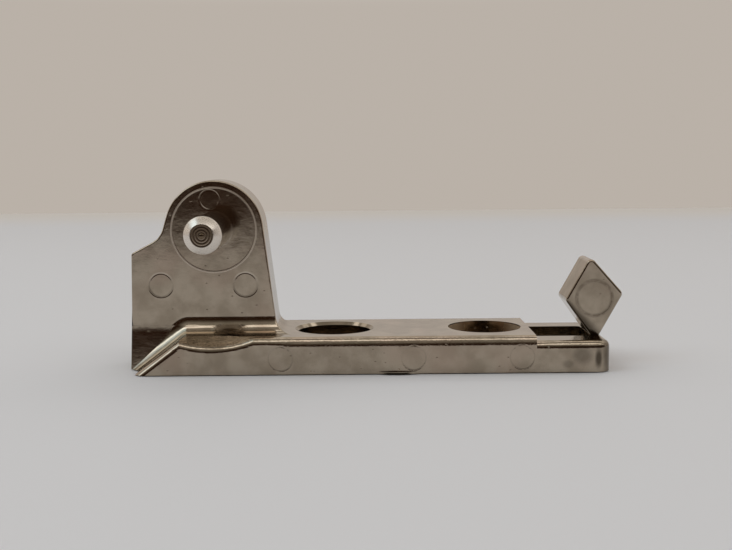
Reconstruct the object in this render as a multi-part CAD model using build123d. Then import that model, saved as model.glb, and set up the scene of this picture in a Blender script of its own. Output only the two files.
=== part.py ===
from build123d import *
from math import cos, radians, sin, tan
import os

# Hinge pin, turned from steel bar and pressed through the ear
PIN_D = 8.0
PIN_REACH = 17.5
PRESS_STEP = 0.25
PIN_BEVEL = 1.6
PIN_EDGE_R = 0.3
PIN_NIB_D = 1.0
PIN_NIB_H = 0.15

# Ear that carries the pin
AXIS_Z = 31.0
EAR_R = 10.9
EAR_T = 10.5
EAR_SIDE = 19.0
EAR_LEAN = 1.3
SHOULDER_DROP = 5.15
SHOULDER_RISE = 27.9
SHOULDER_CORNER_R = 0.8
FLANK_LEAN = 17.0
FLANK_BLEND_R = 4.6
TAPER = 6.9
EAR_EDGE_R = 0.4
FOOT_DRAFT = 6.0
FOOT_DRAFT_Z = 9.7
EAR_WALL = 2.6
BOSS_WALL = 4.5

# Bar that is screwed to the cabinet
BAR_W = 26.5
BAR_H = 8.0
BAR_EDGE_R = 1.6
BASE_BLEND_R = 3.6
RAMP_TOP = 6.35
RAMP_RISE = 36.9
RAMP_CORNER_R = 1.0
SCOOP_DEPTH = 2.35
SCOOP_CLEAR = 0.4
ROOF = 2.4
POCKET_R = 2.0

# Screw seats sunk in the bar
SCREW_X = 26.3
SCREW_PITCH = 34.2
SCREW_D = 6.6
NEAR_SEAT_D = 17.9
FAR_SEAT_D = 16.5
SEAT_FLOOR = 3.0
SEAT_WALL = 1.7
NEAR_BEVEL = 0.7

# Low open end with the diamond lug
STEP = 1.2
LOW_L = 16.3
LOW_CORNER_R = 3.2
WINDOW_W = 12.8
WINDOW_R = 1.0
END_WALL = 3.2
LUG_T = 10.0
LUG_FOOT_IN = 1.9
LUG_FOOT_Z = 5.1
LUG_LEFT = 11.7
LUG_LEFT_LEAN = 35.5
LUG_RIGHT = 12.5
LUG_RIGHT_LEAN = 29.2
LUG_TOP = 11.2
LUG_CORNER_R = 1.1
LUG_EDGE_R = 0.5

# Marks left by the casting die
RING_R = 9.4
RING_W = 0.35
MARK_DEPTH = 0.12
MARK_D = 5.3
TOP_MARK_D = 4.3
LUG_MARK_D = 7.9
EAR_MARK_Z = 18.8
EAR_MARK_LEFT = 12.0
EAR_MARK_RIGHT = 6.8
TOP_MARK_X = 0.8
TOP_MARK_RISE = 6.6
WALL_MARK_Z = 3.45
WALL_MARKS = (14.9, 43.8, 67.35)
LUG_MARK_RISE = 9.9
GATE_X = 40.4
GATE_L = 8.6
GATE_H = 0.5
GATE_T = 0.8

# Allowance that is cut away again at the seat and beyond the ear
ALLOWANCE = 9.0
# How near an edge lies to the face that it is picked by
NEAR = 0.01

PRESS_D = PIN_D + 2 * PRESS_STEP
SIDE_FACE = EAR_T / 2
WALL_FACE = BAR_W / 2
LOW_H = BAR_H - STEP
FAR_SCREW_X = SCREW_X + SCREW_PITCH
STEP_X = FAR_SCREW_X + FAR_SEAT_D / 2 + SEAT_WALL
END_X = STEP_X + LOW_L
SHOULDER_Z = AXIS_Z - SHOULDER_DROP
SHOULDER_X = -EAR_SIDE + SHOULDER_Z * tan(radians(EAR_LEAN))


def slope(angle):
    return Vector(sin(radians(angle)), cos(radians(angle)))


def prism(outline, depth):
    return extrude(Plane.XZ * outline, depth / 2, both=True)


def across(x, z, diameter, front, depth):
    return Pos(x, front + depth / 2, z) * Rot(90, 0, 0) * Cylinder(diameter / 2, depth)


def block(x0, x1, y0, y1, z0, z1):
    centre = Pos((x0 + x1) / 2, (y0 + y1) / 2, (z0 + z1) / 2)
    return centre * Box(x1 - x0, y1 - y0, z1 - z0)


def pocket(x0, x1, width, top, corner):
    outline = Pos((x0 + x1) / 2, 0) * RectangleRounded(x1 - x0, width, corner)
    return extrude(outline, top)


# Outline of the ear: leaning side, shoulder, flank, round head, tapered side
axis = Vector(0, AXIS_Z)
side_foot = Vector(-EAR_SIDE - ALLOWANCE * tan(radians(EAR_LEAN)), -ALLOWANCE)
shoulder = Vector(SHOULDER_X, SHOULDER_Z)
flank_top = axis + Vector(-cos(radians(FLANK_LEAN)), sin(radians(FLANK_LEAN))) * EAR_R
flank_way = slope(FLANK_LEAN)
shoulder_way = Vector(cos(radians(SHOULDER_RISE)), sin(radians(SHOULDER_RISE)))
gap = flank_top - shoulder
turn = shoulder_way.X * flank_way.Y - shoulder_way.Y * flank_way.X
run = (gap.X * flank_way.Y - gap.Y * flank_way.X) / turn
hollow = shoulder + shoulder_way * run
taper_top = axis + Vector(cos(radians(TAPER)), sin(radians(TAPER))) * EAR_R
taper_drop = (taper_top.Y + ALLOWANCE) * tan(radians(TAPER))
taper_foot = Vector(taper_top.X + taper_drop, -ALLOWANCE)
taper_base_x = taper_top.X + (taper_top.Y - BAR_H) * tan(radians(TAPER))
ear_edges = [
    Line(side_foot, shoulder),
    Line(shoulder, hollow),
    Line(hollow, flank_top),
    ThreePointArc(flank_top, axis + Vector(0, EAR_R), taper_top),
    Line(taper_top, taper_foot),
    Line(taper_foot, side_foot),
]
ear_outline = make_face(ear_edges)
hollow_corner = ear_outline.vertices().sort_by_distance((hollow.X, hollow.Y, 0))[0]
ear_outline = fillet(hollow_corner, FLANK_BLEND_R)
outer_corner = ear_outline.vertices().sort_by_distance((shoulder.X, shoulder.Y, 0))[0]
ear_outline = fillet(outer_corner, SHOULDER_CORNER_R)

# Side view of the bar: ramp at the outer end, scoop round the pin axis, flat top
ramp_reach = (BAR_H + ALLOWANCE) / tan(radians(RAMP_RISE))
bar_outline = make_face(
    Polyline(
        (-RAMP_TOP - ramp_reach, -ALLOWANCE),
        (-RAMP_TOP, BAR_H),
        (STEP_X, BAR_H),
        (STEP_X, -ALLOWANCE),
        close=True,
    )
)
ramp_corner = bar_outline.vertices().sort_by_distance((-RAMP_TOP, BAR_H, 0))[0]
bar_outline = fillet(ramp_corner, RAMP_CORNER_R)
bar = prism(bar_outline, BAR_W)
ledge = WALL_FACE - SIDE_FACE
scoop_r = AXIS_Z - BAR_H + SCOOP_DEPTH
scoop_reach = ledge - BASE_BLEND_R - SCOOP_CLEAR
scoop = Cone(scoop_r - ledge * SCOOP_DEPTH / scoop_reach, scoop_r, ledge)
scoop = Pos(0, -SIDE_FACE - ledge / 2, AXIS_Z) * Rot(90, 0, 0) * scoop
bar = bar - scoop - mirror(scoop, Plane.XZ)
rim = [e for e in bar.edges() if abs(abs(e.center().Y) - WALL_FACE) < NEAR]
rim = [e for e in rim if e.center().Z > -ALLOWANCE + NEAR and e.center().X < STEP_X - NEAR]
bar = fillet(rim, BAR_EDGE_R)

# The ear stands on the bar with one hollow blend round its foot
blank = prism(ear_outline, EAR_T)
margin_x = side_foot.X - ALLOWANCE / 2
margin = block(margin_x, 0, -SIDE_FACE, SIDE_FACE, -ALLOWANCE, SHOULDER_Z - ROOF)
casting = bar + blank + margin
foot = [e for e in casting.edges() if abs(abs(e.center().Y) - SIDE_FACE) < NEAR]
foot = [e for e in foot if -ALLOWANCE + NEAR < e.center().Z < BAR_H + NEAR]
foot = [e for e in foot if e.center().X > margin_x + NEAR]
heel = casting.edges().sort_by_distance((taper_base_x, 0, BAR_H))[0]
casting = fillet(foot + [heel], BASE_BLEND_R)
# The ear's faces spread a little towards the seat, where the ramp leaves them open
foot_reach = SIDE_FACE + (FOOT_DRAFT_Z + ALLOWANCE) * tan(radians(FOOT_DRAFT))
foot_section = make_face(
    Polyline(
        (-SIDE_FACE, FOOT_DRAFT_Z),
        (SIDE_FACE, FOOT_DRAFT_Z),
        (foot_reach, -ALLOWANCE),
        (-foot_reach, -ALLOWANCE),
        close=True,
    )
)
casting = casting + extrude(Plane.YZ * foot_section, -EAR_SIDE - ALLOWANCE)
# The outer side and the seat are trimmed flat
beyond = make_face(
    Polyline(
        (side_foot.X, side_foot.Y),
        (shoulder.X, shoulder.Y),
        (shoulder.X - 3 * ALLOWANCE, shoulder.Y),
        (side_foot.X - 3 * ALLOWANCE, side_foot.Y),
        close=True,
    )
)
casting = casting - prism(beyond, BAR_W)
casting = casting - block(-END_X, END_X, -BAR_W, BAR_W, -2 * ALLOWANCE, 0)
# Broken edges round the ear
ear_rim = [e for e in casting.edges() if abs(abs(e.center().Y) - SIDE_FACE) < NEAR]
ear_rim = [e for e in ear_rim if e.center().Z > BAR_H + BASE_BLEND_R]
casting = fillet(ear_rim, EAR_EDGE_R)

# Low end: rounded corners, open window, lug on the end wall
low = block(STEP_X, END_X, -WALL_FACE, WALL_FACE, 0, LOW_H)
low = fillet(low.edges().filter_by(Axis.Z).group_by(Axis.X)[-1], LOW_CORNER_R)
low_rim = [e for e in low.faces().sort_by(Axis.Z)[-1].edges() if e.center().X > STEP_X + NEAR]
low = fillet(low_rim, BAR_EDGE_R)
low = low - pocket(STEP_X, END_X - END_WALL, WINDOW_W, LOW_H, WINDOW_R)
lug_foot = Vector(END_X - LUG_FOOT_IN, LUG_FOOT_Z)
lug_left = lug_foot + Vector(-slope(LUG_LEFT_LEAN).X, slope(LUG_LEFT_LEAN).Y) * LUG_LEFT
lug_right = lug_foot + slope(LUG_RIGHT_LEAN) * LUG_RIGHT
lug_top = lug_left + slope(LUG_RIGHT_LEAN) * LUG_TOP
lug_outline = make_face(Polyline(lug_foot, lug_right, lug_top, lug_left, close=True))
lug_corners = lug_outline.vertices().sort_by(Axis.Y)[1:]
lug_outline = fillet(lug_corners, LUG_CORNER_R)
lug = prism(lug_outline, LUG_T)
lug_rim = [e for e in lug.edges() if abs(abs(e.center().Y) - LUG_T / 2) < NEAR]
lug = fillet(lug_rim, LUG_EDGE_R)
casting = casting + low + lug

# Screw seats, pin bore and the cored underside
near_bore = NEAR_SEAT_D - 2 * NEAR_BEVEL
for x, seat in ((SCREW_X, near_bore), (FAR_SCREW_X, FAR_SEAT_D)):
    casting = casting - Pos(x, 0, SEAT_FLOOR + BAR_H / 2) * Cylinder(seat / 2, BAR_H)
    casting = casting - Pos(x, 0, SEAT_FLOOR / 2) * Cylinder(SCREW_D / 2, BAR_H)
bevel = Cone(NEAR_SEAT_D / 2 - NEAR_BEVEL, NEAR_SEAT_D / 2, NEAR_BEVEL)
casting = casting - Pos(SCREW_X, 0, BAR_H - NEAR_BEVEL / 2) * bevel
casting = casting - across(0, AXIS_Z, PRESS_D, -BAR_W, 2 * BAR_W)
near_seat_edge = SCREW_X + NEAR_SEAT_D / 2 + SEAT_WALL
far_seat_edge = FAR_SCREW_X - FAR_SEAT_D / 2 - SEAT_WALL
casting = casting - pocket(near_seat_edge, far_seat_edge, BAR_W - 2 * ROOF, BAR_H - ROOF, POCKET_R)
core_top = AXIS_Z - PRESS_D / 2 - BOSS_WALL
core_left = SHOULDER_X + EAR_WALL
core_right = taper_top.X - EAR_WALL
casting = casting - pocket(core_left, core_right, EAR_T - 2 * EAR_WALL, core_top, POCKET_R)

# Die marks: witness ring round the pin, ejector marks, gate stub
ring = Circle(RING_R + RING_W / 2) - Circle(RING_R - RING_W / 2)
ring = Pos(0, -SIDE_FACE, AXIS_Z) * Rot(90, 0, 0) * extrude(ring, MARK_DEPTH)
casting = casting + ring
top_mark_z = AXIS_Z + TOP_MARK_RISE
ear_marks = (
    (-TOP_MARK_X, top_mark_z, TOP_MARK_D),
    (-EAR_MARK_LEFT, EAR_MARK_Z, MARK_D),
    (EAR_MARK_RIGHT, EAR_MARK_Z, MARK_D),
)
for x, z, size in ear_marks:
    casting = casting - across(x, z, size, -SIDE_FACE - MARK_DEPTH, 2 * MARK_DEPTH)
for x in WALL_MARKS:
    casting = casting - across(x, WALL_MARK_Z, MARK_D, -WALL_FACE - MARK_DEPTH, 2 * MARK_DEPTH)
lug_mark_z = LUG_FOOT_Z + LUG_MARK_RISE
lug_mark_x = (lug_left.X + lug_right.X) / 2
casting = casting - across(lug_mark_x, lug_mark_z, LUG_MARK_D, -LUG_T / 2 - MARK_DEPTH, 2 * MARK_DEPTH)
gate_r = GATE_L**2 / (8 * GATE_T) + GATE_T / 2
gate = Pos(GATE_X, -WALL_FACE - GATE_T + gate_r, GATE_H / 2) * Cylinder(gate_r, GATE_H)
outside = block(GATE_X - GATE_L, GATE_X + GATE_L, -BAR_W, -WALL_FACE + ROOF / 2, 0, GATE_H)
casting = casting + gate.intersect(outside)

# Pin: straight shank, thicker press length in the ear, bevelled ends with a facing nib
pin_l = EAR_T + 2 * PIN_REACH
pin = Cylinder(PIN_D / 2, pin_l)
pin = chamfer(pin.edges().filter_by(GeomType.CIRCLE), PIN_BEVEL)
pin = fillet(pin.edges().filter_by(GeomType.CIRCLE), PIN_EDGE_R)
pin = pin + Cylinder(PIN_NIB_D / 2, pin_l + 2 * PIN_NIB_H) + Cylinder(PRESS_D / 2, EAR_T)
pin = Pos(0, 0, AXIS_Z) * Rot(90, 0, 0) * pin

# The shared frame has its origin under the middle of the hinge, on the seat
limits = casting.bounding_box()
home = Pos(-(limits.min.X + limits.max.X) / 2, 0, 0)
os.makedirs("parts", exist_ok=True)
export_step(home * casting, "parts/hinge_bracket.step")
export_step(home * pin, "parts/hinge_pin.step")
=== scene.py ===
import math

import bpy
from mathutils import Euler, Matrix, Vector


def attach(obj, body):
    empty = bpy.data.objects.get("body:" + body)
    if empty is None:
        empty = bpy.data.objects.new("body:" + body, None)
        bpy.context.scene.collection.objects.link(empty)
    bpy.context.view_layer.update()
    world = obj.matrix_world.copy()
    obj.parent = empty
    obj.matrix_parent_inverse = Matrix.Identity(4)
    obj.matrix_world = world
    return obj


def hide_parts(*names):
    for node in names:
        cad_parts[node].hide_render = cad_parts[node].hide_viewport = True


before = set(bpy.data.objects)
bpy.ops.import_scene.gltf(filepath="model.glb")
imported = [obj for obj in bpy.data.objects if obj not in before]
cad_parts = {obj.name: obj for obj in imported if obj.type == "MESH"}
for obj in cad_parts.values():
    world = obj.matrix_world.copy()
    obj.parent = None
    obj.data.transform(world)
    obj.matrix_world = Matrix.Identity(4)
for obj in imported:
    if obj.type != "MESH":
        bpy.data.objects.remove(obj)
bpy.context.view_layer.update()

# The photograph's frame and lens
PHOTO_W = 732
FOCAL_PX = 1050
SENSOR_MM = 36.0
CAMERA_AT = (-0.00225, -0.23692, 0.0478)
CAMERA_DIP = math.radians(6.681)
CAMERA_ROLL = math.radians(-0.5)

# Places on the casting, in millimetres of the shared frame
PIN_X = -35.854
PIN_Z = 31.0
RING_R = 9.4
EAR_FACE = -5.25
WALL_FACE = -13.25
TOP_MARK = (-36.654, 37.6, 2.15)
EAR_MARKS = ((-47.854, 18.8, 2.65), (-29.054, 18.8, 2.65))
WALL_MARKS = ((-20.954, 3.45, 2.65), (7.946, 3.45, 2.65), (31.496, 3.45, 2.65))
LUG_MARK = (48.65, 15.0, 3.95)
GATE_X = 4.3
FAR_SEAT = (24.65, 0.0, 8.25)
SEAT_DEEP = 4.5
SEAT_RIM = 7.8
DRAFT_Z = 9.7
DRAFT_SOFT = 1.5
DRAFT_LIFT = 0.04
DRAFT_END = -38.5
RIM_FOOT = 5.6
RIM_TOP = 8.2
ROLL_FOOT = 5.9
ROLL_TOP = 7.1
ROLL_DROP = 0.13
ROLL_START = -21.0
ROLL_END = 37.0
PIT_DENSITY = 0.75
# Painted shade in patches on the low end: centre, half sizes, strength
SHADE_PATCHES = (
    ((44.6, -13.2, 3.6), (2.2, 2.0, 1.9), 0.55),
    ((41.4, -13.2, 1.8), (1.3, 2.0, 0.9), 0.45),
    ((50.2, -11.8, 3.2), (1.4, 2.6, 4.0), 0.75),
    ((48.0, -13.1, 3.0), (0.8, 2.0, 2.1), 1.0),
)
# Painted shade along the lug's lower left edge: its two ends, and the band's width at each
LUG_EDGE_HIGH = (42.2, 14.6)
LUG_EDGE_LOW = (49.0, 5.1)
LUG_BAND_HIGH = 1.0
LUG_BAND_LOW = 3.4

# Sizes of the turned pin, in millimetres
PIN_R = 4.0
PRESS_R = 4.25
PIN_TIP = 22.75
PIN_BEVEL = 1.5
BEVEL_LEAN = math.radians(45)
NIB_R = 0.5
NIB_H = 0.15
NIB_ROOT = 0.06
CORNER = 0.3
CORNER_STEPS = 4
FACE_STEPS = 44
GROOVE_PITCH = 0.6
GROOVE_DEPTH = 0.012

scene = bpy.context.scene
scene.view_settings.view_transform = "Standard"


def shader_tree(name):
    material = bpy.data.materials.new(name)
    material.use_nodes = True
    material.node_tree.nodes.clear()
    return material, material.node_tree


def node(tree, kind, **settings):
    made = tree.nodes.new(kind)
    for key, value in settings.items():
        setattr(made, key, value)
    return made


def plug(tree, value, socket):
    if isinstance(value, bpy.types.NodeSocket):
        tree.links.new(value, socket)
    else:
        socket.default_value = value


def maths(tree, operation, first, second=0.0, clamp=False):
    made = node(tree, "ShaderNodeMath", operation=operation, use_clamp=clamp)
    plug(tree, first, made.inputs[0])
    plug(tree, second, made.inputs[1])
    return made.outputs[0]


def spread(tree, value, low, high, to_low=0.0, to_high=1.0):
    made = node(tree, "ShaderNodeMapRange", interpolation_type="SMOOTHSTEP")
    plug(tree, value, made.inputs["Value"])
    plug(tree, low, made.inputs["From Min"])
    plug(tree, high, made.inputs["From Max"])
    plug(tree, to_low, made.inputs["To Min"])
    plug(tree, to_high, made.inputs["To Max"])
    return made.outputs["Result"]


def tint(tree, amount, first, second):
    made = node(tree, "ShaderNodeMix", data_type="RGBA")
    plug(tree, amount, made.inputs["Factor"])
    plug(tree, first, made.inputs[6])
    plug(tree, second, made.inputs[7])
    return made.outputs[2]


def millimetres(tree, stretch=(1.0, 1.0, 1.0)):
    place = node(tree, "ShaderNodeTexCoord")
    scaled = node(tree, "ShaderNodeMapping")
    plug(tree, place.outputs["Object"], scaled.inputs["Vector"])
    scaled.inputs["Scale"].default_value = [1000.0 * s for s in stretch]
    return scaled.outputs["Vector"]


def grain(tree, scale, detail, stretch=(1.0, 1.0, 1.0), roughness=0.55):
    made = node(tree, "ShaderNodeTexNoise")
    plug(tree, millimetres(tree, stretch), made.inputs["Vector"])
    made.inputs["Scale"].default_value = scale
    made.inputs["Detail"].default_value = detail
    made.inputs["Roughness"].default_value = roughness
    return made.outputs["Fac"]


def circle_line(tree, flat, mark, width):
    x, z, radius = mark
    reach = node(tree, "ShaderNodeVectorMath", operation="DISTANCE")
    plug(tree, flat, reach.inputs[0])
    reach.inputs[1].default_value = (x, 0.0, z)
    off = maths(tree, "ABSOLUTE", maths(tree, "SUBTRACT", reach.outputs["Value"], radius))
    return spread(tree, off, width * 0.3, width, 1.0, 0.0)


def spot(tree, place, centre, stretch, radius, soft):
    moved = node(tree, "ShaderNodeMapping", vector_type="TEXTURE")
    plug(tree, place, moved.inputs["Vector"])
    moved.inputs["Location"].default_value = centre
    moved.inputs["Scale"].default_value = stretch
    reach = node(tree, "ShaderNodeVectorMath", operation="LENGTH")
    plug(tree, moved.outputs["Vector"], reach.inputs[0])
    return spread(tree, reach.outputs["Value"], radius - soft, radius + soft, 1.0, 0.0)


def between(tree, value, low, high, soft):
    above = spread(tree, value, low - soft, low + soft)
    below = spread(tree, value, high - soft, high + soft, 1.0, 0.0)
    return maths(tree, "MULTIPLY", above, below)


def ejector_arcs(tree, flat, height, marks, width):
    """Painted shade on the lower arcs and painted highlights on the upper arcs of the ejector marks."""
    mark_shade, mark_highlight = 0.0, 0.0
    for mark in marks:
        line = circle_line(tree, flat, mark, width)
        rise = maths(tree, "DIVIDE", maths(tree, "SUBTRACT", height, mark[1]), mark[2])
        lower_arc_shade = maths(tree, "MULTIPLY", line, spread(tree, rise, -0.7, 0.5, 1.0, 0.0))
        upper_arc_highlight = maths(tree, "MULTIPLY", line, spread(tree, rise, 0.0, 0.9))
        mark_shade = maths(tree, "MAXIMUM", mark_shade, lower_arc_shade)
        mark_highlight = maths(tree, "MAXIMUM", mark_highlight, upper_arc_highlight)
    return mark_shade, mark_highlight


def along_line(tree, flat, start, way):
    reach = node(tree, "ShaderNodeVectorMath", operation="DOT_PRODUCT")
    plug(tree, flat, reach.inputs[0])
    reach.inputs[1].default_value = (way[0], 0.0, way[1])
    return maths(tree, "SUBTRACT", reach.outputs["Value"], start[0] * way[0] + start[1] * way[1])


def lug_edge_shade(tree, flat):
    """Painted shade in a band inside the lug's lower left edge, wider toward its foot."""
    run = (LUG_EDGE_LOW[0] - LUG_EDGE_HIGH[0], LUG_EDGE_LOW[1] - LUG_EDGE_HIGH[1])
    length = math.hypot(*run)
    way = (run[0] / length, run[1] / length)
    inward = (-way[1], way[0])
    along = along_line(tree, flat, LUG_EDGE_HIGH, way)
    inside = along_line(tree, flat, LUG_EDGE_HIGH, inward)
    wide = spread(tree, along, 0.0, length, LUG_BAND_HIGH, LUG_BAND_LOW)
    band = between(tree, maths(tree, "DIVIDE", inside, wide), -0.6, 0.6, 0.4)
    return maths(tree, "MULTIPLY", band, between(tree, along, 0.2, length - 0.2, 0.8))


def rough_lit_seat_wall(tree, parts):
    """Rougher machined wall inside the far screw seat, with painted light on its side walls toward both ends."""
    x, y, radius = FAR_SEAT
    across = node(tree, "ShaderNodeCombineXYZ")
    plug(tree, parts.outputs["X"], across.inputs["X"])
    plug(tree, parts.outputs["Y"], across.inputs["Y"])
    reach = node(tree, "ShaderNodeVectorMath", operation="DISTANCE")
    plug(tree, across.outputs["Vector"], reach.inputs[0])
    reach.inputs[1].default_value = (x, y, 0.0)
    shell = between(tree, reach.outputs["Value"], radius - 0.3, radius + 0.15, 0.1)
    shell = maths(tree, "MULTIPLY", shell, between(tree, parts.outputs["Z"], SEAT_DEEP, SEAT_RIM, 0.15))
    offset = maths(tree, "ABSOLUTE", maths(tree, "SUBTRACT", parts.outputs["X"], x + 0.8))
    return maths(tree, "MULTIPLY", shell, spread(tree, offset, 2.5, 7.2))


def pits(tree):
    cells = node(tree, "ShaderNodeTexVoronoi")
    plug(tree, millimetres(tree, (0.5, 1.0, 1.2)), cells.inputs["Vector"])
    cells.inputs["Scale"].default_value = PIT_DENSITY
    chosen = node(tree, "ShaderNodeSeparateColor")
    plug(tree, cells.outputs["Color"], chosen.inputs["Color"])
    some = spread(tree, chosen.outputs["Red"], 0.55, 0.6)
    deep = spread(tree, cells.outputs["Distance"], 0.04, 0.11, 1.0, 0.0)
    return maths(tree, "MULTIPLY", deep, some)


def nickel_casting():
    material, tree = shader_tree("nickel_casting")
    out = node(tree, "ShaderNodeOutputMaterial")
    metal = node(tree, "ShaderNodeBsdfPrincipled")
    metal.inputs["Metallic"].default_value = 1.0
    plug(tree, metal.outputs["BSDF"], out.inputs["Surface"])

    place = millimetres(tree)
    parts = node(tree, "ShaderNodeSeparateXYZ")
    plug(tree, place, parts.inputs["Vector"])
    flat = node(tree, "ShaderNodeCombineXYZ")
    plug(tree, parts.outputs["X"], flat.inputs["X"])
    plug(tree, parts.outputs["Z"], flat.inputs["Z"])
    flat = flat.outputs["Vector"]
    depth = parts.outputs["Y"]
    on_ear = between(tree, depth, EAR_FACE - 0.5, EAR_FACE + 0.5, 0.1)
    on_wall = between(tree, depth, WALL_FACE - 0.5, WALL_FACE + 0.25, 0.1)

    # Die marks: witness ring, ejector marks, torn gate, with painted highlights and painted shade on them
    # Witness ring: a matte worn ridge, lightened in colour as a painted highlight
    worn_ring_highlight = maths(tree, "MULTIPLY", circle_line(tree, flat, (PIN_X, PIN_Z, RING_R), 0.3), on_ear)
    patchy = spread(tree, grain(tree, 0.8, 3.0), 0.35, 0.6, 0.25, 1.0)
    ear_mark_shade, ear_mark_highlight = ejector_arcs(tree, flat, parts.outputs["Z"], EAR_MARKS, 0.34)
    top_mark_highlight = maths(tree, "MULTIPLY", circle_line(tree, flat, TOP_MARK, 0.3), 0.5)
    ear_mark_highlight = maths(tree, "MAXIMUM", ear_mark_highlight, top_mark_highlight)
    wall_mark_shade, wall_mark_highlight = ejector_arcs(tree, flat, parts.outputs["Z"], WALL_MARKS, 0.26)
    # Painted shade also along the whole outline of the wall's ejector marks
    for mark in WALL_MARKS:
        whole = maths(tree, "MULTIPLY", circle_line(tree, flat, mark, 0.26), 0.6)
        wall_mark_shade = maths(tree, "MAXIMUM", wall_mark_shade, whole)
    wall_mark_shade = maths(tree, "MULTIPLY", wall_mark_shade, patchy)
    lug_ring = maths(tree, "MULTIPLY", circle_line(tree, flat, LUG_MARK, 0.6), on_ear)
    lug_ring = maths(tree, "MULTIPLY", lug_ring, patchy)
    mark_shade = maths(
        tree,
        "MAXIMUM",
        maths(tree, "MULTIPLY", ear_mark_shade, on_ear),
        maths(tree, "MULTIPLY", maths(tree, "MULTIPLY", wall_mark_shade, on_wall), 0.8),
    )
    mark_highlight = maths(
        tree,
        "MAXIMUM",
        maths(tree, "MULTIPLY", ear_mark_highlight, on_ear),
        maths(tree, "MULTIPLY", maths(tree, "MULTIPLY", wall_mark_highlight, on_wall), 0.2),
    )
    # Torn gate stub: its lowest part is painted near black as shade; its added roughness is the torn surface's own
    torn_gate_shade = spread(tree, depth, WALL_FACE - 0.06, WALL_FACE - 0.02, 1.0, 0.0)
    torn_gate_shade = maths(tree, "MULTIPLY", torn_gate_shade, between(tree, parts.outputs["X"], GATE_X - 2.8, GATE_X + 2.8, 0.8))
    torn_gate_shade = maths(tree, "MULTIPLY", torn_gate_shade, spread(tree, parts.outputs["Z"], 0.30, 0.46, 1.0, 0.0))
    # Painted shade: dark patches at the low end and a band along the lug's edge
    patch_and_edge_shade = 0.0
    for centre, stretch, strength in SHADE_PATCHES:
        patch = spot(tree, place, centre, stretch, 0.9, 0.5)
        patch_and_edge_shade = maths(tree, "MAXIMUM", patch_and_edge_shade, maths(tree, "MULTIPLY", patch, strength))
    patch_and_edge_shade = maths(tree, "MAXIMUM", patch_and_edge_shade, maths(tree, "MULTIPLY", lug_edge_shade(tree, flat), on_ear))
    rough_lit_bore = rough_lit_seat_wall(tree, parts)
    worn = pits(tree)
    on_rim = between(tree, parts.outputs["Z"], RIM_FOOT, RIM_TOP, 0.2)
    beside = spread(tree, maths(tree, "ABSOLUTE", depth), 11.5, 12.2)
    on_rim = maths(tree, "MULTIPLY", on_rim, beside)
    on_bar = maths(tree, "MULTIPLY", beside, between(tree, parts.outputs["X"], ROLL_START, ROLL_END, 3.0))

    # Plating: cloudy, warm, with a faint blush and dull streaks along the bar
    clouds = grain(tree, 0.20, 4.0)
    tone = tint(tree, spread(tree, clouds, 0.34, 0.66), (0.33, 0.275, 0.21, 1.0), (0.44, 0.375, 0.295, 1.0))
    blush = grain(tree, 0.09, 1.0)
    tone = tint(tree, spread(tree, blush, 0.50, 0.70, 0.0, 0.45), tone, (0.43, 0.33, 0.26, 1.0))
    # Painted highlight on the upper arcs of the ejector marks
    tone = tint(tree, maths(tree, "MULTIPLY", mark_highlight, 0.35), tone, (0.74, 0.67, 0.58, 1.0))
    # Painted highlight along the witness ring
    tone = tint(tree, maths(tree, "MULTIPLY", worn_ring_highlight, 0.8), tone, (0.72, 0.63, 0.53, 1.0))
    # Painted shade on the lower arcs and outlines of the ejector marks
    tone = tint(tree, maths(tree, "MULTIPLY", mark_shade, 0.4), tone, (0.16, 0.13, 0.10, 1.0))
    tone = tint(tree, maths(tree, "MULTIPLY", lug_ring, 0.6), tone, (0.15, 0.115, 0.085, 1.0))
    tone = tint(tree, maths(tree, "MULTIPLY", worn, 0.6), tone, (0.12, 0.09, 0.07, 1.0))
    # Painted shade darkening the low end and the lug's lower left edge
    tone = tint(tree, maths(tree, "MULTIPLY", patch_and_edge_shade, 0.85), tone, (0.055, 0.042, 0.030, 1.0))
    # Painted light on the far seat's side walls; the added roughness is the machined wall's own
    tone = tint(tree, rough_lit_bore, tone, (0.80, 0.66, 0.50, 1.0))
    # Painted shade on the underside of the gate stub
    tone = tint(tree, torn_gate_shade, tone, (0.05, 0.04, 0.03, 1.0))
    plug(tree, tone, metal.inputs["Base Color"])

    streaks = grain(tree, 1.0, 4.0, (0.35, 1.0, 1.8))
    fine = grain(tree, 5.0, 3.0, (0.35, 1.0, 1.4))
    dull = maths(tree, "ADD", 0.05, maths(tree, "MULTIPLY", streaks, 0.08))
    dull = maths(tree, "ADD", dull, maths(tree, "MULTIPLY", fine, 0.05))
    dull = maths(tree, "ADD", dull, maths(tree, "MULTIPLY", worn_ring_highlight, 0.25))
    dull = maths(tree, "ADD", dull, maths(tree, "MULTIPLY", torn_gate_shade, 0.4))
    dull = maths(tree, "ADD", dull, maths(tree, "MULTIPLY", rough_lit_bore, 0.40))
    plug(tree, dull, metal.inputs["Roughness"])

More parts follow.
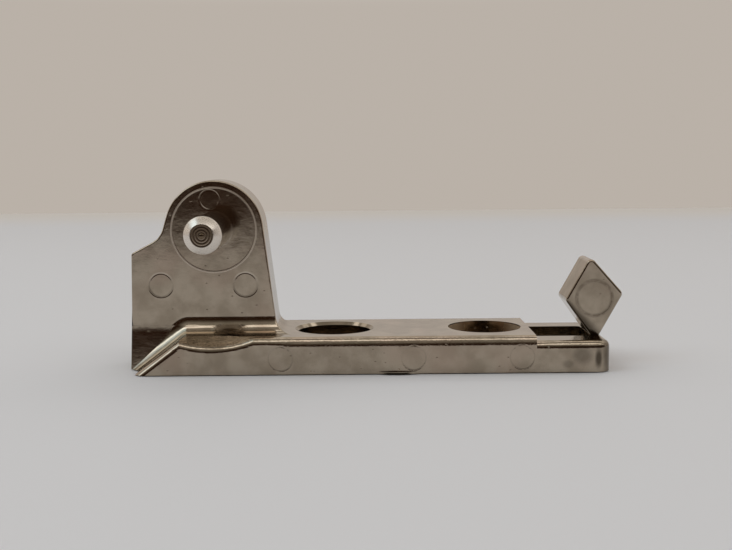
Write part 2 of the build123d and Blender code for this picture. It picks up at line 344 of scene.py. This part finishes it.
    waves = grain(tree, 0.22, 2.0)
    ripples = grain(tree, 0.9, 3.0)
    skin = maths(tree, "ADD", maths(tree, "MULTIPLY", waves, 0.03), maths(tree, "MULTIPLY", ripples, 0.009))
    skin = maths(tree, "ADD", skin, maths(tree, "MULTIPLY", streaks, 0.0035))
    skin = maths(tree, "ADD", skin, maths(tree, "MULTIPLY", fine, 0.002))
    grit = maths(tree, "MULTIPLY", grain(tree, 2.2, 3.0), on_rim)
    skin = maths(tree, "ADD", skin, maths(tree, "MULTIPLY", grit, 0.03))
    rolled = maths(tree, "MULTIPLY", spread(tree, parts.outputs["Z"], ROLL_FOOT, ROLL_TOP), on_bar)
    skin = maths(tree, "SUBTRACT", skin, maths(tree, "MULTIPLY", rolled, ROLL_DROP))
    off = maths(tree, "ABSOLUTE", maths(tree, "SUBTRACT", parts.outputs["Z"], DRAFT_Z))
    crease = maths(tree, "SUBTRACT", 1.0, maths(tree, "DIVIDE", off, DRAFT_SOFT), clamp=True)
    crease = maths(tree, "MULTIPLY", maths(tree, "MULTIPLY", crease, crease), spread(
        tree, parts.outputs["X"], DRAFT_END - 2.0, DRAFT_END, DRAFT_LIFT, 0.0))
    skin = maths(tree, "ADD", skin, crease)
    skin = maths(tree, "ADD", skin, maths(tree, "MULTIPLY", worn_ring_highlight, 0.02))
    skin = maths(tree, "SUBTRACT", skin, maths(tree, "MULTIPLY", maths(tree, "ADD", mark_shade, mark_highlight), 0.025))
    skin = maths(tree, "SUBTRACT", skin, maths(tree, "MULTIPLY", worn, 0.06))
    bump = node(tree, "ShaderNodeBump")
    bump.inputs["Strength"].default_value = 1.0
    bump.inputs["Distance"].default_value = 0.001
    plug(tree, skin, bump.inputs["Height"])
    plug(tree, bump.outputs["Normal"], metal.inputs["Normal"])
    return material


def turned_steel():
    material, tree = shader_tree("turned_steel")
    out = node(tree, "ShaderNodeOutputMaterial")
    metal = node(tree, "ShaderNodeBsdfPrincipled")
    metal.inputs["Metallic"].default_value = 1.0
    parts = node(tree, "ShaderNodeSeparateXYZ")
    plug(tree, millimetres(tree), parts.inputs["Vector"])
    flat = node(tree, "ShaderNodeCombineXYZ")
    plug(tree, parts.outputs["X"], flat.inputs["X"])
    plug(tree, parts.outputs["Z"], flat.inputs["Z"])
    reach = node(tree, "ShaderNodeVectorMath", operation="DISTANCE")
    plug(tree, flat.outputs["Vector"], reach.inputs[0])
    reach.inputs[1].default_value = (PIN_X, 0.0, PIN_Z)
    radius = reach.outputs["Value"]
    # The lathe-faced end of the pin, darkened in colour as a painted reflection
    painted_dark_face = spread(tree, radius, PIN_R - PIN_BEVEL - 0.2, PIN_R - PIN_BEVEL, 1.0, 0.0)
    cuts = maths(tree, "SINE", maths(tree, "MULTIPLY", radius, 2 * math.pi / GROOVE_PITCH))
    cuts = maths(tree, "MULTIPLY", spread(tree, cuts, 0.2, 0.9), painted_dark_face)
    cuts = maths(tree, "MULTIPLY", cuts, spread(tree, radius, NIB_R, NIB_R + 0.2))
    # Painted highlight on the facing grooves, stronger on the pin's lower half
    low_side_highlight = spread(tree, parts.outputs["Z"], PIN_Z - 2.0, PIN_Z + 1.0, 0.7, 0.15)
    worked = spread(tree, maths(tree, "ABSOLUTE", parts.outputs["Y"]), PIN_TIP - PIN_BEVEL - 0.3, PIN_TIP - PIN_BEVEL)
    tone = tint(tree, worked, (0.46, 0.40, 0.33, 1.0), (0.80, 0.735, 0.66, 1.0))
    # Painted reflection: the faced end is darkened like the ear face beside it
    tone = tint(tree, painted_dark_face, tone, (0.17, 0.125, 0.085, 1.0))
    # Painted highlight on the facing grooves
    tone = tint(tree, maths(tree, "MULTIPLY", cuts, low_side_highlight), tone, (0.55, 0.46, 0.37, 1.0))
    plug(tree, tone, metal.inputs["Base Color"])
    lathe = grain(tree, 3.0, 3.0, (1.0, 4.0, 1.0))
    dull = maths(tree, "ADD", 0.13, maths(tree, "MULTIPLY", lathe, 0.10))
    dull = maths(tree, "ADD", dull, maths(tree, "MULTIPLY", worked, 0.10))
    plug(tree, maths(tree, "SUBTRACT", dull, maths(tree, "MULTIPLY", painted_dark_face, 0.08)), metal.inputs["Roughness"])
    bump = node(tree, "ShaderNodeBump")
    bump.inputs["Distance"].default_value = 0.001
    plug(tree, maths(tree, "MULTIPLY", lathe, 0.004), bump.inputs["Height"])
    plug(tree, bump.outputs["Normal"], metal.inputs["Normal"])
    plug(tree, metal.outputs["BSDF"], out.inputs["Surface"])
    return material


def wear(obj, material):
    obj.data.materials.clear()
    obj.data.materials.append(material)


wear(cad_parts["hinge_bracket"], nickel_casting())


def pin_end():
    """Radius and reach along the pin's end, from its nib over the facing grooves to its shank."""
    face_r = PIN_R - PIN_BEVEL
    corner_run = CORNER * math.tan(BEVEL_LEAN / 2)
    nib_top = PIN_TIP + NIB_H
    nib_foot = NIB_R + NIB_ROOT
    steps = [(NIB_ROOT, nib_top), (NIB_R - 2 * NIB_ROOT, nib_top), (NIB_R, nib_top - NIB_H / 2), (nib_foot, PIN_TIP)]
    for i in range(1, FACE_STEPS):
        r = nib_foot + (face_r - corner_run - nib_foot) * i / FACE_STEPS
        wave = 0.5 - 0.5 * math.cos(2 * math.pi * (r - NIB_R) / GROOVE_PITCH)
        steps.append((r, PIN_TIP - GROOVE_DEPTH * wave))
    for i in range(CORNER_STEPS + 1):
        a = BEVEL_LEAN * i / CORNER_STEPS
        steps.append((face_r - corner_run + CORNER * math.sin(a), PIN_TIP - CORNER * (1 - math.cos(a))))
    shank_y = PIN_TIP - PIN_BEVEL - corner_run
    for i in range(CORNER_STEPS + 1):
        a = BEVEL_LEAN + (math.pi / 2 - BEVEL_LEAN) * i / CORNER_STEPS
        steps.append((PIN_R - CORNER * (1 - math.sin(a)), shank_y + CORNER * math.cos(a)))
    return steps


def turned_pin():
    end = pin_end()
    shank = [(PIN_R, -EAR_FACE), (PRESS_R, -EAR_FACE), (PRESS_R, EAR_FACE), (PIN_R, EAR_FACE)]
    profile = end + shank + [(r, -y) for r, y in reversed(end)]
    bpy.ops.object.select_all(action="DESELECT")
    bpy.ops.mesh.primitive_circle_add(vertices=96, radius=profile[0][0] / 1000, location=(0.0, 0.0, 0.0))
    made = bpy.context.active_object
    made.name = "turned_pin"
    bpy.ops.object.mode_set(mode="EDIT")
    bpy.ops.transform.translate(value=(0.0, 0.0, profile[0][1] / 1000))
    bpy.ops.mesh.edge_face_add()
    bpy.ops.mesh.select_mode(type="EDGE")
    for (r0, y0), (r1, y1) in zip(profile, profile[1:]):
        bpy.ops.mesh.extrude_edges_move(TRANSFORM_OT_translate={"value": (0.0, 0.0, (y1 - y0) / 1000)})
        bpy.ops.transform.resize(value=(r1 / r0, r1 / r0, 1.0))
    bpy.ops.mesh.edge_face_add()
    bpy.ops.mesh.select_all(action="SELECT")
    bpy.ops.mesh.normals_make_consistent(inside=False)
    bpy.ops.transform.rotate(value=math.pi / 2, orient_axis="X", center_override=(0.0, 0.0, 0.0))
    bpy.ops.transform.translate(value=(PIN_X / 1000, 0.0, PIN_Z / 1000))
    bpy.ops.object.mode_set(mode="OBJECT")
    bpy.ops.object.shade_smooth_by_angle(angle=math.radians(40))
    return made


pin = turned_pin()
wear(pin, turned_steel())
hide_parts("hinge_pin")
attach(pin, "root")


# Table that ends just behind the camera, fades into the wall's tone at its far edge, and is darkened toward its near
# end as painted shadow
TABLE_NEAR = -0.55
TABLE_FAR = 0.63
TABLE_HALF = 3.0
TABLE_GAP = 0.00022


def table_top():
    material, tree = shader_tree("table_top")
    out = node(tree, "ShaderNodeOutputMaterial")
    cover = node(tree, "ShaderNodeBsdfPrincipled")
    cover.inputs["Roughness"].default_value = 0.7
    parts = node(tree, "ShaderNodeSeparateXYZ")
    plug(tree, millimetres(tree), parts.inputs["Vector"])
    far = spread(tree, parts.outputs["Y"], 440.0, 625.0)
    tone = tint(tree, far, (0.775, 0.79, 0.835, 1.0), (0.81, 0.78, 0.755, 1.0))
    # Painted shadow darkening the table's near end around the camera
    near_shadow = spread(tree, parts.outputs["Y"], -540.0, -230.0, 1.0, 0.0)
    plug(tree, tint(tree, near_shadow, tone, (0.075, 0.038, 0.022, 1.0)), cover.inputs["Base Color"])
    plug(tree, cover.outputs["BSDF"], out.inputs["Surface"])
    return material


bpy.ops.object.select_all(action="DESELECT")
bpy.ops.mesh.primitive_plane_add(size=1.0)
table = bpy.context.active_object
table.name = "table"
bpy.ops.object.mode_set(mode="EDIT")
bpy.ops.transform.resize(value=(2 * TABLE_HALF, TABLE_FAR - TABLE_NEAR, 1.0))
bpy.ops.transform.translate(value=(0.0, (TABLE_FAR + TABLE_NEAR) / 2, -TABLE_GAP))
bpy.ops.object.mode_set(mode="OBJECT")
wear(table, table_top())


def soft_lamp(name, place, width, height, power, colour):
    data = bpy.data.lights.new(name, "AREA")
    data.shape = "RECTANGLE"
    data.size = width
    data.size_y = height
    data.energy = power
    data.color = colour
    lamp = bpy.data.objects.new(name, data)
    scene.collection.objects.link(lamp)
    lamp.location = place
    lamp.rotation_euler = (-Vector(place)).to_track_quat("-Z", "Y").to_euler()


soft_lamp("ceiling_lamp", (0.0, -0.545, 1.07), 3.4, 0.38, 5.2, (1.0, 0.98, 0.95))
soft_lamp("middle_lamp", (0.0, 0.31, 1.16), 3.0, 0.25, 2.3, (1.0, 0.98, 0.95))
soft_lamp("far_lamp", (0.0, 0.85, 1.05), 3.4, 0.50, 2.4, (1.0, 0.98, 0.95))
soft_lamp("window", (-0.75, -0.20, 0.80), 0.55, 0.55, 0.95, (0.62, 0.86, 1.0))

# Room: light walls at both sides, a plain wall behind, dim in front and overhead
world = bpy.data.worlds.new("room")
scene.world = world
world.use_nodes = True
room = world.node_tree
room.nodes.clear()
room_out = node(room, "ShaderNodeOutputWorld")
room_light = node(room, "ShaderNodeBackground")
facing = node(room, "ShaderNodeTexCoord")
facing_parts = node(room, "ShaderNodeSeparateXYZ")
plug(room, facing.outputs["Generated"], facing_parts.inputs["Vector"])


def tones(value, stops):
    made = node(room, "ShaderNodeValToRGB")
    plug(room, value, made.inputs["Fac"])
    elements = made.color_ramp.elements
    elements[0].position, elements[0].color = stops[0]
    elements[1].position, elements[1].color = stops[-1]
    for position, colour in stops[1:-1]:
        elements.new(position).color = colour
    return made.outputs["Color"]


turn = maths(room, "ADD", maths(room, "MULTIPLY", facing_parts.outputs["Y"], 0.5), 0.5)
height = maths(room, "MAXIMUM", facing_parts.outputs["Z"], 0.0)
in_front = tones(
    height,
    (
        (0.24, (0.040, 0.019, 0.010, 1.0)),
        (0.33, (0.08, 0.062, 0.045, 1.0)),
        (0.42, (0.14, 0.12, 0.10, 1.0)),
        (0.52, (0.24, 0.22, 0.19, 1.0)),
        (0.60, (0.32, 0.30, 0.27, 1.0)),
    ),
)
round_room = tones(
    turn,
    (
        (0.40, (0.30, 0.27, 0.24, 1.0)),
        (0.46, (0.72, 0.68, 0.65, 1.0)),
        (0.60, (0.72, 0.68, 0.65, 1.0)),
        (0.80, (0.40, 0.36, 0.33, 1.0)),
    ),
)
overhead = tones(
    height,
    (
        (0.30, (1.0, 1.0, 1.0, 1.0)),
        (0.75, (0.40, 0.40, 0.41, 1.0)),
    ),
)
dimmed = node(room, "ShaderNodeMix", data_type="RGBA", blend_type="MULTIPLY")
dimmed.inputs["Factor"].default_value = 1.0
plug(room, round_room, dimmed.inputs[6])
plug(room, overhead, dimmed.inputs[7])
ceiling = tones(
    height,
    (
        (0.70, (0.34, 0.32, 0.28, 1.0)),
        (0.86, (0.36, 0.33, 0.29, 1.0)),
    ),
)
glow = tint(room, spread(room, turn, 0.28, 0.42), in_front, dimmed.outputs[2])
glow = tint(room, spread(room, height, 0.56, 0.70), glow, ceiling)
behind = tones(
    height,
    (
        (0.135, (0.49, 0.44, 0.39, 1.0)),
        (0.18, (0.62, 0.57, 0.52, 1.0)),
        (0.30, (0.60, 0.55, 0.50, 1.0)),
        (0.55, (0.46, 0.42, 0.37, 1.0)),
        (0.84, (0.36, 0.33, 0.29, 1.0)),
        (0.92, (0.30, 0.27, 0.24, 1.0)),
    ),
)
from_behind = spread(room, facing_parts.outputs["Y"], -0.02, 0.10)
plug(room, tint(room, from_behind, glow, behind), room_light.inputs["Color"])
room_light.inputs["Strength"].default_value = 1.0
plug(room, room_light.outputs["Background"], room_out.inputs["Surface"])

camera_data = bpy.data.cameras.new("photo_camera")
camera_data.sensor_fit = "HORIZONTAL"
camera_data.sensor_width = SENSOR_MM
camera_data.lens = FOCAL_PX / PHOTO_W * SENSOR_MM
camera_data.clip_start = 0.01
camera_data.clip_end = 50.0
camera = bpy.data.objects.new("photo_camera", camera_data)
scene.collection.objects.link(camera)
camera.location = CAMERA_AT
dip = Euler((math.pi / 2 - CAMERA_DIP, 0.0, 0.0)).to_matrix()
roll = Euler((0.0, 0.0, CAMERA_ROLL)).to_matrix()
camera.rotation_euler = (dip @ roll).to_euler()
scene.camera = camera
